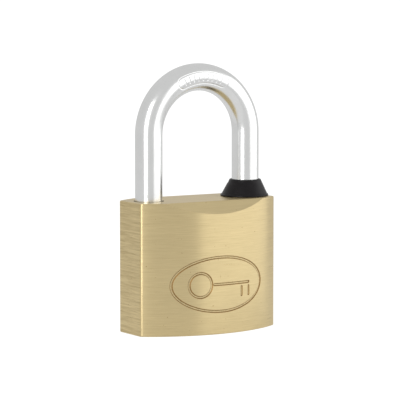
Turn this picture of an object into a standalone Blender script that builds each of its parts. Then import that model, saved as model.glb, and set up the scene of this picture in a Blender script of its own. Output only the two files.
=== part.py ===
"""Solid brass padlock with a long round shackle, modelled closed with its bolts drawn back.

The body stands on its bottom face: origin at the middle of that face, +Z up, front face towards -Y.
The plain toe leg of the shackle is at -X. The heel leg stays in the body, at +X, in a rubber boot.
Turning the plug clockwise seen from above (-90 degrees) drives both bolts into the notches of the legs.
"""

from math import asin, cos, pi, radians, sin, sqrt

import bmesh
import bpy
from mathutils import Matrix, Vector

MM = 0.001

# Driving sizes of the body
BODY_WIDTH = 50 * MM
BODY_HEIGHT = 42 * MM
EDGE_THICKNESS = 13 * MM
FACE_BULGE = 8 * MM
CORNER_ROUND = 0.6 * MM
EDGE_BREAK = 0.3 * MM
TOP_FLAT_DEPTH = 21 * MM
CRESCENT_DROP = 3.8 * MM

# Driving sizes of the shackle
BAR_DIAMETER = 8.7 * MM
INSIDE_HEIGHT = 34.4 * MM
SIDE_WALL = 2.3 * MM
LEG_CLEARANCE = 0.35 * MM
TIP_CHAMFER = 0.8 * MM
TOE_TIP_LAND = 2.2 * MM
TOE_FLOOR_GAP = 0.5 * MM
LIFT_CLEARANCE = 1.0 * MM
NOTCH_CLEARANCE = 0.3 * MM
WAIST_LAND = 1.4 * MM
WAIST_SHOULDER = 0.5 * MM
HEEL_FLANGE = 2.2 * MM
HEEL_FLOOR = 3.0 * MM
HEEL_POCKET_WALL = 0.8 * MM
HEEL_POCKET_DEPTH = 6.0 * MM

# Driving sizes of the rubber boot
BOOT_HEIGHT = 5.4 * MM
BOOT_TOP_WALL = 0.72 * MM
BOOT_FLARE = 2.35 * MM
BOOT_LIP_HEIGHT = 0.6 * MM
BOOT_LIP_ROUND = 0.15 * MM
BOOT_LIP_STEP = 0.3 * MM
BOOT_LIP_DRAFT = 0.07 * MM
BOOT_SEAT_DEPTH = 2.2 * MM
BOOT_SEAT_WALL = 1.0 * MM
BOOT_CLEARANCE = 0.08 * MM
BOOT_RIM_WIDTH = 0.28 * MM
BOOT_RIM_ROUND = 0.09 * MM
BOOT_WIPER_DEPTH = 0.7 * MM

# Driving sizes of the bolt work
BOLT_DIAMETER = 5.0 * MM
BOLT_DEPTH = 8.0 * MM
BOLT_STROKE = 2.3 * MM
BOLT_SETBACK = 0.2 * MM
BOLT_NOSE_CHAMFER = 0.5 * MM
BOLT_GAP_AT_REST = 2.2 * MM
SPRING_POCKET_DIAMETER = 3.2 * MM
SPRING_POCKET_DEPTH = 4.5 * MM
FOLLOWER_DIAMETER = 1.5 * MM
FOLLOWER_CLEARANCE = 0.12 * MM
CAM_THICKNESS = 2.2 * MM
CAM_RIM = 0.7 * MM
CAM_GAP = 0.2 * MM
CAM_OVERTRAVEL = radians(4)
TANG_LENGTH = 8.0 * MM
TANG_WIDTH = 1.8 * MM
TANG_DEPTH = 1.4 * MM
TANG_CLEARANCE = 0.08 * MM

# Driving sizes of the plug and its pins
PLUG_DIAMETER = 13.0 * MM
PLUG_RECESS = 0.3 * MM
PLUG_LAND = 1.2 * MM
PLUG_GROOVE_DEPTH = 1.2 * MM
PLUG_TURN = radians(90)
KEYWAY_WIDTH = 1.7 * MM
KEYWAY_WARD = 0.6 * MM
KEYWAY_LENGTH = 9.0 * MM
KEYWAY_HEAD = 2.0 * MM
PIN_DIAMETER = 2.5 * MM
PIN_CLEARANCE = 0.05 * MM
PIN_ZONE_FLOOR = 2.0 * MM
PIN_ZONE_CEILING = 0.6 * MM
DRIVER_LENGTH = 5.5 * MM
KEY_PIN_LENGTHS = [4.6 * MM, 3.7 * MM, 4.9 * MM, 3.4 * MM, 4.3 * MM]
KEY_PIN_POINT = 0.8 * MM
DRIVER_CHAMFER = 0.2 * MM
FILLER_LENGTH = 2.5 * MM

# Cross pins, springs and fits
RETAINER_DIAMETER = 1.8 * MM
RETAINER_OVERSHOOT = 0.6 * MM
STOP_PIN_DIAMETER = 2.4 * MM
STOP_PIN_REACH = 5.0 * MM
STOP_GAP = 0.1 * MM
PIN_SPRING_WIRE = 0.35 * MM
BOLT_SPRING_WIRE = 0.4 * MM
HEEL_SPRING_WIRE = 0.45 * MM
SPRING_CLEARANCE = 0.15 * MM
PIN_SPRING_PITCH = 1.3 * MM
BOLT_SPRING_PITCH = 1.3 * MM
HEEL_SPRING_PITCH = 1.35 * MM
RUNNING_FIT = 0.07 * MM
PRESS_GAP = 0.02 * MM
SEAT_GAP = 0.05 * MM
CUT_MARGIN = 1.0 * MM

# Engraving on the front face
EMBLEM_WIDTH = 33.0 * MM
EMBLEM_HEIGHT = 17.2 * MM
EMBLEM_CENTRE_HEIGHT = 15.9 * MM
GROOVE_WIDTH = 0.9 * MM
GROOVE_DEPTH = 0.25 * MM
KEY_BOW_DIAMETER = 7.6 * MM
KEY_SIGN_LENGTH = 22.0 * MM
KEY_TOOTH_COUNT = 2
KEY_TOOTH_HEIGHT = 2.6 * MM
KEY_TOOTH_GAP = 1.35 * MM
KEY_TOOTH_SPACING = 3.0 * MM

# How finely round shapes are divided
FINE = 48
MEDIUM = 32
COARSE = 16
ARCH_STEPS = 28
FACE_STEPS = 36
OVAL_STEPS = 72
SPIRAL_STEPS = 14
ROUND_STEPS = 4
SHANK_STEPS = 12
TOOTH_STEPS = 2
SLOT_END_STEPS = 8
STROKE_END_ANGLES = [radians(80), radians(45)]
SMOOTH_ANGLE = radians(30)
COIL_STEPS = 7
WIRE_SIDES = 5

# Places and sizes worked out from the values above
HALF_WIDTH = BODY_WIDTH / 2
HALF_DEPTH = EDGE_THICKNESS / 2 + FACE_BULGE
FACE_RADIUS = (FACE_BULGE**2 + HALF_WIDTH**2) / (2 * FACE_BULGE)
FACE_CENTRE = FACE_RADIUS - HALF_DEPTH

BAR_RADIUS = BAR_DIAMETER / 2
LEG_HOLE_RADIUS = BAR_RADIUS + LEG_CLEARANCE
LEG_X = HALF_WIDTH - SIDE_WALL - LEG_HOLE_RADIUS
ARCH_CENTRE = BODY_HEIGHT + INSIDE_HEIGHT + BAR_RADIUS - LEG_X

BOLT_RADIUS = BOLT_DIAMETER / 2
BOLT_BORE_RADIUS = BOLT_RADIUS + RUNNING_FIT
BOLT_Z = BODY_HEIGHT - BOLT_DEPTH
BOLT_INNER_END = BOLT_GAP_AT_REST / 2
BOLT_NOSE = LEG_X - LEG_HOLE_RADIUS - BOLT_SETBACK
NOTCH_HALF_HEIGHT = BOLT_RADIUS + NOTCH_CLEARANCE
NOTCH_DEPTH = BOLT_STROKE - BOLT_SETBACK - LEG_CLEARANCE + NOTCH_CLEARANCE

TOE_TIP = BOLT_Z - NOTCH_HALF_HEIGHT - TOE_TIP_LAND
TOE_FLOOR = TOE_TIP - TOE_FLOOR_GAP
LIFT = BODY_HEIGHT - TOE_TIP + LIFT_CLEARANCE
WAIST_RADIUS = BAR_RADIUS - NOTCH_DEPTH
STOP_PIN_RADIUS = STOP_PIN_DIAMETER / 2
STOP_PIN_Z = BOLT_Z - NOTCH_HALF_HEIGHT - WAIST_LAND - STOP_GAP - STOP_PIN_RADIUS
STOP_PIN_X = LEG_X + WAIST_RADIUS + STOP_GAP + STOP_PIN_RADIUS
WAIST_TOP = STOP_PIN_Z + STOP_PIN_RADIUS + STOP_GAP
WAIST_BOTTOM = STOP_PIN_Z - STOP_PIN_RADIUS - STOP_GAP - LIFT
HEEL_TIP = WAIST_BOTTOM - HEEL_FLANGE
HEEL_POCKET_RADIUS = WAIST_RADIUS - HEEL_POCKET_WALL
HEEL_POCKET_TOP = HEEL_TIP + HEEL_POCKET_DEPTH

PLUG_RADIUS = PLUG_DIAMETER / 2
PLUG_BORE_RADIUS = PLUG_RADIUS + RUNNING_FIT
CAM_RADIUS = PLUG_RADIUS - CAM_GAP
CAM_TOP = BOLT_Z - BOLT_RADIUS - CAM_GAP
CAM_BOTTOM = CAM_TOP - CAM_THICKNESS
PLUG_TOP = CAM_BOTTOM - SEAT_GAP
PLUG_BORE_TOP = BOLT_Z - BOLT_RADIUS + CAM_GAP
FOLLOWER_RADIUS = FOLLOWER_DIAMETER / 2
SLOT_HALF_WIDTH = FOLLOWER_RADIUS + FOLLOWER_CLEARANCE
CAM_LEAD = BOLT_STROKE / PLUG_TURN
FOLLOWER_OUT = CAM_RADIUS - CAM_RIM - SLOT_HALF_WIDTH - CAM_LEAD * CAM_OVERTRAVEL
FOLLOWER_X = FOLLOWER_OUT - BOLT_STROKE

RETAINER_RADIUS = RETAINER_DIAMETER / 2
PLUG_GROOVE_TOP = PLUG_TOP - PLUG_LAND
PLUG_GROOVE_BOTTOM = PLUG_GROOVE_TOP - RETAINER_DIAMETER - 2 * STOP_GAP
PLUG_GROOVE_RADIUS = PLUG_RADIUS - PLUG_GROOVE_DEPTH
RETAINER_X = PLUG_GROOVE_RADIUS + SEAT_GAP + RETAINER_RADIUS
RETAINER_Z = (PLUG_GROOVE_TOP + PLUG_GROOVE_BOTTOM) / 2
RETAINER_REACH = sqrt(PLUG_BORE_RADIUS**2 - (RETAINER_X - RETAINER_RADIUS) ** 2) + RETAINER_OVERSHOOT

PIN_RADIUS = PIN_DIAMETER / 2
CHAMBER_RADIUS = PIN_RADIUS + PIN_CLEARANCE
PIN_COUNT = len(KEY_PIN_LENGTHS)
PIN_PITCH = (PLUG_GROOVE_BOTTOM - PIN_ZONE_CEILING - PIN_ZONE_FLOOR) / PIN_COUNT
KEY_PIN_FACE = sqrt(PLUG_RADIUS**2 - PIN_RADIUS**2) - SEAT_GAP
DRIVER_FACE = PLUG_BORE_RADIUS + SEAT_GAP


def clear_scene():
    for obj in list(bpy.data.objects):
        bpy.data.objects.remove(obj)


def material(name, colour, roughness, metallic):
    made = bpy.data.materials.new(name)
    made.use_nodes = True
    shader = made.node_tree.nodes["Principled BSDF"]
    shader.inputs["Base Color"].default_value = (*colour, 1)
    shader.inputs["Roughness"].default_value = roughness
    shader.inputs["Metallic"].default_value = metallic
    made.diffuse_color = (*colour, 1)
    return made


def add_object(name, shape, finish=None, place=(0, 0, 0), parent=None):
    """Turns a bmesh into a named object with outward normals, shaded smooth except at its edges."""
    bmesh.ops.recalc_face_normals(shape, faces=shape.faces)
    mesh = bpy.data.meshes.new(name)
    shape.to_mesh(mesh)
    shape.free()
    mesh.shade_smooth()
    mesh.set_sharp_from_angle(angle=SMOOTH_ANGLE)
    obj = bpy.data.objects.new(name, mesh)
    bpy.context.scene.collection.objects.link(obj)
    obj.location = place
    obj.parent = parent
    if finish:
        mesh.materials.append(finish)
    return obj


def add_axis(name, place, turn=0):
    """An empty on a joint's axis, which the moving pieces hang on."""
    axis = bpy.data.objects.new(name, None)
    axis.location = place
    axis.rotation_euler = (0, 0, turn)
    bpy.context.scene.collection.objects.link(axis)
    return axis


def boolean(obj, shape, operation="DIFFERENCE", parent=None):
    """Cuts or joins a helper shape, which stays in the scene as a hidden wire object."""
    helper = add_object(f"{obj.name}_helper", shape, parent=parent)
    helper.hide_render = True
    helper.display_type = "WIRE"
    modifier = obj.modifiers.new(operation.title(), "BOOLEAN")
    modifier.operation = operation
    modifier.solver = "EXACT"
    modifier.object = helper


def joined_rings(rings, closed_loop=False):
    """A solid skinned over rings of equally many points, capped at both ends or closed on itself."""
    shape = bmesh.new()
    loops = [[shape.verts.new(point) for point in ring] for ring in rings]
    pairs = list(zip(loops, loops[1:]))
    if closed_loop:
        pairs.append((loops[-1], loops[0]))
    else:
        shape.faces.new(loops[0])
        shape.faces.new(loops[-1])
    for low, high in pairs:
        for i in range(len(low)):
            j = (i + 1) % len(low)
            shape.faces.new((low[i], low[j], high[j], high[i]))
    return shape


def circle(radius, z, sides, centre=(0, 0)):
    return [
        (centre[0] + radius * cos(2 * pi * i / sides), centre[1] + radius * sin(2 * pi * i / sides), z)
        for i in range(sides)
    ]


def turned(profile, sides):
    """A solid turned about Z from (radius, height) points, each radius above zero."""
    return joined_rings([circle(radius, z, sides) for radius, z in profile])


def turned_tube(profile, sides):
    """A tube turned about Z from a closed profile of (radius, height) points."""
    return joined_rings([circle(radius, z, sides) for radius, z in profile], closed_loop=True)


def rod(radius, start, end, sides, chamfer=0.0):
    """A cylinder from start to end, with its ends chamfered if asked."""
    start, end = Vector(start), Vector(end)
    length = (end - start).length
    profile = [(radius, 0), (radius, length)]
    if chamfer:
        profile = [
            (radius - chamfer, 0),
            (radius, chamfer),
            (radius, length - chamfer),
            (radius - chamfer, length),
        ]
    shape = turned(profile, sides)
    turn = Vector((0, 0, 1)).rotation_difference(end - start).to_matrix().to_4x4()
    shape.transform(Matrix.Translation(start) @ turn)
    return shape


def prism(outline, low, high):
    """A straight solid on an (x, y) outline between two heights."""
    return joined_rings([[(x, y, z) for x, y in outline] for z in (low, high)])


def coil(outer_radius, wire, start, end, pitch):
    """A round coil spring that fills the room from start to end, with the turns its pitch allows."""
    start, end = Vector(start), Vector(end)
    room = (end - start).length - wire
    turns = max(2, round(room / pitch))
    radius = outer_radius - wire / 2
    count = turns * COIL_STEPS
    rings = []
    for i in range(count + 1):
        angle = 2 * pi * turns * i / count
        out = Vector((cos(angle), sin(angle), 0))
        rise = room / (2 * pi * turns)
        along = Vector((-radius * sin(angle), radius * cos(angle), rise)).normalized()
        side = along.cross(out)
        centre = out * radius + Vector((0, 0, wire / 2 + room * i / count))
        around = [2 * pi * k / WIRE_SIDES for k in range(WIRE_SIDES)]
        rings.append([centre + (out * cos(a) + side * sin(a)) * wire / 2 for a in around])
    shape = joined_rings(rings)
    turn = Vector((0, 0, 1)).rotation_difference(end - start).to_matrix().to_4x4()
    shape.transform(Matrix.Translation(start) @ turn)
    return shape


def face_depth(x, inset=0.0):
    """How far the bowed front face lies from the middle plane at x."""
    radius = FACE_RADIUS - inset
    return sqrt(radius**2 - x**2) - FACE_CENTRE


def quarter_outline(inset):
    """Outline points from the middle of the front face to the middle of the +X side."""
    width = HALF_WIDTH - inset
    radius = FACE_RADIUS - inset
    last = asin((width - CORNER_ROUND) / radius)
    points = []
    for i in range(FACE_STEPS // 2 + 1):
        angle = last * i / (FACE_STEPS // 2)
        points.append((radius * sin(angle), FACE_CENTRE - radius * cos(angle)))
    start = Vector(points[-1])
    corner = Vector((width, -face_depth(width, inset)))
    end = corner + Vector((0, CORNER_ROUND))
    for i in range(1, ROUND_STEPS + 1):
        t = i / ROUND_STEPS
        points.append(tuple(start * (1 - t) ** 2 + corner * 2 * t * (1 - t) + end * t**2))
    return points


def body_outline(inset=0.0):
    """The whole plan outline, anticlockwise seen from above."""
    right_front = quarter_outline(inset)
    right_back = [(x, -y) for x, y in reversed(right_front)]
    left_back = [(-x, y) for x, y in reversed(right_back[:-1])]
    left_front = [(-x, y) for x, y in reversed(right_front[1:])]
    return right_front + right_back + left_back + left_front


def body_blank():
    """The extruded bar with its crescent bevels, before any hole is drilled."""
    levels = [
        (EDGE_BREAK, 0),
        (0, EDGE_BREAK),
        (0, BODY_HEIGHT - EDGE_BREAK),
        (EDGE_BREAK, BODY_HEIGHT),
    ]
    return joined_rings([[(x, y, z) for x, y in body_outline(inset)] for inset, z in levels])


def crescent_cutter(side):
    """A wedge that bevels the top of the front face (side -1) or the back face (side 1)."""
    slope = CRESCENT_DROP / (HALF_DEPTH - TOP_FLAT_DEPTH / 2)
    inner = TOP_FLAT_DEPTH / 2 - CUT_MARGIN
    outer = HALF_DEPTH + CUT_MARGIN
    high = BODY_HEIGHT + slope * CUT_MARGIN
    low = BODY_HEIGHT - slope * (outer - TOP_FLAT_DEPTH / 2)
    section = [(side * inner, high), (side * outer, high), (side * outer, low)]
    reach = HALF_WIDTH + CUT_MARGIN
    return joined_rings([[(x, y, z) for y, z in section] for x in (-reach, reach)])


def stroke_cutter(path, closed_loop=False):
    """A flat-bottomed groove of even depth along (x, z) points of the front face, with round ends."""
    half = GROOVE_WIDTH / 2
    path = [Vector(point) for point in path]
    count = len(path)
    stations = []
    for i, point in enumerate(path):
        before = path[i - 1] if i or closed_loop else path[0]
        after = path[(i + 1) % count] if i < count - 1 or closed_loop else path[-1]
        stations.append((point, (after - before).normalized(), half))
    if not closed_loop:
        head, ahead, _ = stations[0]
        tail, behind, _ = stations[-1]
        heads = [(head - ahead * half * sin(a), ahead, half * cos(a)) for a in STROKE_END_ANGLES]
        tails = [(tail + behind * half * sin(a), behind, half * cos(a)) for a in STROKE_END_ANGLES]
        stations = heads + stations + tails[::-1]
    rings = []
    for point, ahead, reach in stations:
        left = point + Vector((-ahead.y, ahead.x)) * reach
        right = point - Vector((-ahead.y, ahead.x)) * reach
        rings.append([
            (left.x, -face_depth(left.x) + GROOVE_DEPTH, left.y),
            (right.x, -face_depth(right.x) + GROOVE_DEPTH, right.y),
            (right.x, -face_depth(right.x) - CUT_MARGIN, right.y),
            (left.x, -face_depth(left.x) - CUT_MARGIN, left.y),
        ])
    return joined_rings(rings, closed_loop)


def ellipse(width, height, centre, steps):
    angles = [2 * pi * i / steps for i in range(steps)]
    return [(centre[0] + width / 2 * cos(a), centre[1] + height / 2 * sin(a)) for a in angles]


def straight(start, end, steps):
    start, end = Vector(start), Vector(end)
    return [start.lerp(end, i / steps) for i in range(steps + 1)]


def emblem_cutters():
    """An oval ring round a plain sign of a key: a round bow, a shank and two teeth."""
    middle = EMBLEM_CENTRE_HEIGHT
    oval = ellipse(EMBLEM_WIDTH, EMBLEM_HEIGHT, (0, middle), OVAL_STEPS)
    yield stroke_cutter(oval, closed_loop=True)
    bow_x = -(KEY_SIGN_LENGTH - KEY_BOW_DIAMETER) / 2
    bow = ellipse(KEY_BOW_DIAMETER, KEY_BOW_DIAMETER, (bow_x, middle), MEDIUM)
    yield stroke_cutter(bow, closed_loop=True)
    shank_start = bow_x + KEY_BOW_DIAMETER / 2 + GROOVE_WIDTH
    shank_end = KEY_SIGN_LENGTH / 2
    yield stroke_cutter(straight((shank_start, middle), (shank_end, middle), SHANK_STEPS))
    for i in range(KEY_TOOTH_COUNT):
        x = shank_end - KEY_TOOTH_SPACING * i
        top = middle - KEY_TOOTH_GAP
        yield stroke_cutter(straight((x, top), (x, top - KEY_TOOTH_HEIGHT), TOOTH_STEPS))


def pin_height(i):
    return PIN_ZONE_FLOOR + PIN_PITCH * (i + 0.5)


def stop_pin_shape(radius, back):
    """The heel stop pin, or its hole: it lies along Y beside the waist of the heel leg."""
    return rod(radius, (STOP_PIN_X, -STOP_PIN_REACH, STOP_PIN_Z), (STOP_PIN_X, back, STOP_PIN_Z), COARSE)


def retainer_shape(radius, back):
    """The plug retaining pin, or its hole: it lies along Y in the groove of the plug."""
    return rod(radius, (RETAINER_X, -RETAINER_REACH, RETAINER_Z), (RETAINER_X, back, RETAINER_Z), COARSE)


def make_body(finish):
    body = add_object("lock_body", body_blank(), finish)
    for side in (-1, 1):
        boolean(body, crescent_cutter(side))
    over = BODY_HEIGHT + CUT_MARGIN
    back = HALF_DEPTH + CUT_MARGIN
    boolean(body, rod(LEG_HOLE_RADIUS, (-LEG_X, 0, TOE_FLOOR), (-LEG_X, 0, over), FINE))
    boolean(body, rod(LEG_HOLE_RADIUS, (LEG_X, 0, HEEL_FLOOR), (LEG_X, 0, over), FINE))
    seat_radius = LEG_HOLE_RADIUS + BOOT_SEAT_WALL
    boolean(body, rod(seat_radius, (LEG_X, 0, BODY_HEIGHT - BOOT_SEAT_DEPTH), (LEG_X, 0, over), FINE))
    boolean(body, rod(PLUG_BORE_RADIUS, (0, 0, -CUT_MARGIN), (0, 0, PLUG_BORE_TOP), FINE))
    bolt_bore_end = (HALF_WIDTH + CUT_MARGIN, 0, BOLT_Z)
    boolean(body, rod(BOLT_BORE_RADIUS, (-LEG_X, 0, BOLT_Z), bolt_bore_end, MEDIUM))
    inner = -PLUG_BORE_RADIUS + CUT_MARGIN
    outer = -HALF_WIDTH - CUT_MARGIN
    for i in range(PIN_COUNT):
        boolean(body, rod(CHAMBER_RADIUS, (outer, 0, pin_height(i)), (inner, 0, pin_height(i)), COARSE))
    boolean(body, stop_pin_shape(STOP_PIN_RADIUS + PRESS_GAP, back))
    boolean(body, retainer_shape(RETAINER_RADIUS + PRESS_GAP, back))
    for shape in emblem_cutters():
        boolean(body, shape)


def make_cross_pins(finish):
    """Both pins end flush with the bowed back face, so each is trimmed to the blank of the body."""
    back = HALF_DEPTH + CUT_MARGIN
    stop_pin = add_object("heel_stop_pin", stop_pin_shape(STOP_PIN_RADIUS, back), finish)
    boolean(stop_pin, body_blank(), "INTERSECT")
    retainer = add_object("plug_retaining_pin", retainer_shape(RETAINER_RADIUS, back), finish)
    boolean(retainer, body_blank(), "INTERSECT")


def shackle_path():
    """(centre, way along, radius) from the toe leg's tip over the arch to the heel leg's tip."""
    up = Vector((0, 0, 1))
    toe = [(TOE_TIP, BAR_RADIUS - TIP_CHAMFER), (TOE_TIP + TIP_CHAMFER, BAR_RADIUS)]
    stations = [(Vector((-LEG_X, 0, z)), up, radius) for z, radius in toe]
    for i in range(ARCH_STEPS + 1):
        angle = pi - pi * i / ARCH_STEPS
        out = Vector((cos(angle), 0, sin(angle)))
        way = Vector((sin(angle), 0, -cos(angle)))
        stations.append((Vector((0, 0, ARCH_CENTRE)) + out * LEG_X, way, BAR_RADIUS))
    heel = [
        (WAIST_TOP + WAIST_SHOULDER, BAR_RADIUS),
        (WAIST_TOP, WAIST_RADIUS),
        (WAIST_BOTTOM, WAIST_RADIUS),
        (WAIST_BOTTOM, BAR_RADIUS),
        (HEEL_TIP + TIP_CHAMFER, BAR_RADIUS),
        (HEEL_TIP, BAR_RADIUS - TIP_CHAMFER),
    ]
    stations += [(Vector((LEG_X, 0, z)), -up, radius) for z, radius in heel]
    return stations


def notch_cutter(side):
    """A slot across the inner side of a leg, as high as a bolt and its clearance."""
    face = LEG_X - BAR_RADIUS
    near, far = side * (face - CUT_MARGIN), side * (face + NOTCH_DEPTH)
    low, high = sorted((near, far))
    outline = [(low, -BAR_DIAMETER), (high, -BAR_DIAMETER), (high, BAR_DIAMETER), (low, BAR_DIAMETER)]
    return prism(outline, BOLT_Z - NOTCH_HALF_HEIGHT, BOLT_Z + NOTCH_HALF_HEIGHT)


def make_shackle(finish, axis):
    rings = []
    for centre, way, radius in shackle_path():
        side = way.cross(Vector((0, 1, 0)))
        turns = [2 * pi * i / MEDIUM for i in range(MEDIUM)]
        rings.append([centre + (side * cos(a) + Vector((0, 1, 0)) * sin(a)) * radius for a in turns])
    to_axis = Matrix.Translation(-axis.location)
    shape = joined_rings(rings)
    shape.transform(to_axis)
    shackle = add_object("shackle", shape, finish, parent=axis)
    below = (LEG_X, 0, HEEL_TIP - CUT_MARGIN)
    pocket = rod(HEEL_POCKET_RADIUS, below, (LEG_X, 0, HEEL_POCKET_TOP), COARSE)
    for shape in (notch_cutter(-1), notch_cutter(1), pocket):
        shape.transform(to_axis)
        boolean(shackle, shape, parent=axis)


def make_boot(finish):
    inner = BAR_RADIUS + BOOT_CLEARANCE
    spigot = LEG_HOLE_RADIUS + BOOT_SEAT_WALL - SEAT_GAP
    top = inner + BOOT_TOP_WALL
    base = top + BOOT_FLARE
    rim_inner = top - 2 * BOOT_RIM_WIDTH
    profile = [
        (inner, SEAT_GAP - BOOT_SEAT_DEPTH),
        (spigot, SEAT_GAP - BOOT_SEAT_DEPTH),
        (spigot, SEAT_GAP),
        (base - BOOT_LIP_ROUND, SEAT_GAP),
        (base, SEAT_GAP + BOOT_LIP_ROUND),
        (base - BOOT_LIP_DRAFT, BOOT_LIP_HEIGHT),
        (base - BOOT_LIP_STEP, BOOT_LIP_HEIGHT + BOOT_LIP_ROUND),
        (top, BOOT_HEIGHT - BOOT_RIM_WIDTH),
        (top - BOOT_RIM_ROUND, BOOT_HEIGHT - BOOT_RIM_ROUND),
        (top - BOOT_RIM_WIDTH, BOOT_HEIGHT),
        (rim_inner, BOOT_HEIGHT - BOOT_RIM_ROUND),
        (rim_inner, BOOT_HEIGHT - BOOT_WIPER_DEPTH),
        (inner, BOOT_HEIGHT - BOOT_WIPER_DEPTH),
    ]
    add_object("heel_boot", turned_tube(profile, FINE), finish, (LEG_X, 0, BODY_HEIGHT))


def keyway_outline():
    """A stepped slot whose blade lies along X, between the pins and the middle of the plug."""
    half = KEYWAY_WIDTH / 2
    far = KEYWAY_LENGTH / 2
    return [
        (-far, -half),
        (0, -half),
        (0, -half - KEYWAY_WARD),
        (far, -half - KEYWAY_WARD),
        (far, half - KEYWAY_WARD),
        (KEYWAY_WARD, half - KEYWAY_WARD),
        (KEYWAY_WARD, half),
        (-far, half),
    ]


def rectangle(length, width):
    x, y = length / 2, width / 2
    return [(-x, -y), (x, -y), (x, y), (-x, y)]


def make_plug(finish, axis):
    """The plug as it stands with the key hole's pins towards -X before its axis turns it to rest."""
    profile = [
        (PLUG_RADIUS - EDGE_BREAK, PLUG_RECESS),
        (PLUG_RADIUS, PLUG_RECESS + EDGE_BREAK),
        (PLUG_RADIUS, PLUG_GROOVE_BOTTOM),
        (PLUG_GROOVE_RADIUS, PLUG_GROOVE_BOTTOM),
        (PLUG_GROOVE_RADIUS, PLUG_GROOVE_TOP),
        (PLUG_RADIUS, PLUG_GROOVE_TOP),
        (PLUG_RADIUS, PLUG_TOP),
    ]
    plug = add_object("plug", turned(profile, FINE), finish, parent=axis)
    keyway_top = pin_height(PIN_COUNT - 1) + PIN_RADIUS + KEYWAY_HEAD
    boolean(plug, prism(keyway_outline(), PLUG_RECESS - CUT_MARGIN, keyway_top), parent=axis)
    slot = rectangle(TANG_LENGTH + 2 * TANG_CLEARANCE, TANG_WIDTH + 2 * TANG_CLEARANCE)
    slot_floor = PLUG_TOP - TANG_DEPTH - TANG_CLEARANCE
    boolean(plug, prism(slot, slot_floor, PLUG_TOP + CUT_MARGIN), parent=axis)
    for i in range(PIN_COUNT):
        start = (-PLUG_RADIUS - CUT_MARGIN, 0, pin_height(i))
        end = (SEAT_GAP - KEY_PIN_FACE + KEY_PIN_LENGTHS[i], 0, pin_height(i))
        boolean(plug, rod(CHAMBER_RADIUS, start, end, COARSE), parent=axis)


def cam_slot(start):
    """Outline of a slot along a spiral, which moves its follower evenly with the turn."""
    rings = []
    first, last = -CAM_OVERTRAVEL, PLUG_TURN + CAM_OVERTRAVEL
    for i in range(SPIRAL_STEPS + 1):
        turn = first + (last - first) * i / SPIRAL_STEPS
        reach = FOLLOWER_X + CAM_LEAD * turn
        out = Vector((cos(start + turn), sin(start + turn)))
        across = Vector((-out.y, out.x))
        ahead = (out * CAM_LEAD + across * reach).normalized()
        rings.append((out * reach, ahead, Vector((ahead.y, -ahead.x))))
    outer = [centre + normal * SLOT_HALF_WIDTH for centre, _, normal in rings]
    inner = [centre - normal * SLOT_HALF_WIDTH for centre, _, normal in reversed(rings)]
    centre, ahead, normal = rings[-1]
    arc = [pi * i / SLOT_END_STEPS for i in range(1, SLOT_END_STEPS)]
    far_end = [centre + (normal * cos(a) + ahead * sin(a)) * SLOT_HALF_WIDTH for a in arc]
    centre, ahead, normal = rings[0]
    near_end = [centre - (normal * cos(a) + ahead * sin(a)) * SLOT_HALF_WIDTH for a in arc]
    return [tuple(point) for point in outer + far_end + inner + near_end]


def make_cam(finish, axis):
    """The disc on top of the plug. Its slots are laid out for the bolts as they are at rest."""
    turn_back = Matrix.Rotation(-axis.rotation_euler.z, 4, "Z")
    disc = turned([(CAM_RADIUS, CAM_BOTTOM), (CAM_RADIUS, CAM_TOP)], FINE)
    cam = add_object("bolt_cam", disc, finish, parent=axis)
    tang = prism(rectangle(TANG_LENGTH, TANG_WIDTH), PLUG_TOP - TANG_DEPTH, CAM_BOTTOM + CAM_GAP)
    boolean(cam, tang, "UNION", parent=axis)
    for start in (0, pi):
        shape = prism(cam_slot(start), CAM_BOTTOM - TANG_DEPTH - CUT_MARGIN, CAM_TOP + CUT_MARGIN)
        shape.transform(turn_back)
        boolean(cam, shape, parent=axis)


def make_bolt(name, side, finish):
    """A round bolt reaching out to a leg, with a spring pocket behind and a follower pin below."""
    axis = add_axis(f"{name}_axis", (0, 0, BOLT_Z))
    profile = [
        (BOLT_RADIUS, BOLT_INNER_END),
        (BOLT_RADIUS, BOLT_NOSE - BOLT_NOSE_CHAMFER),
        (BOLT_RADIUS - BOLT_NOSE_CHAMFER, BOLT_NOSE),
    ]
    shape = turned(profile, MEDIUM)
    shape.transform(Matrix.Rotation(side * pi / 2, 4, "Y"))
    bolt = add_object(name, shape, finish, parent=axis)
    pocket_end = BOLT_INNER_END + SPRING_POCKET_DEPTH
    pocket = rod(SPRING_POCKET_DIAMETER / 2, (0, 0, 0), (side * pocket_end, 0, 0), COARSE)
    boolean(bolt, pocket, parent=axis)
    x = side * FOLLOWER_X
    wall = (BOLT_RADIUS + SPRING_POCKET_DIAMETER / 2) / 2
    low = CAM_BOTTOM + CAM_GAP - BOLT_Z
    boolean(bolt, rod(FOLLOWER_RADIUS, (x, 0, low), (x, 0, -wall), COARSE), "UNION", parent=axis)


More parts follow.
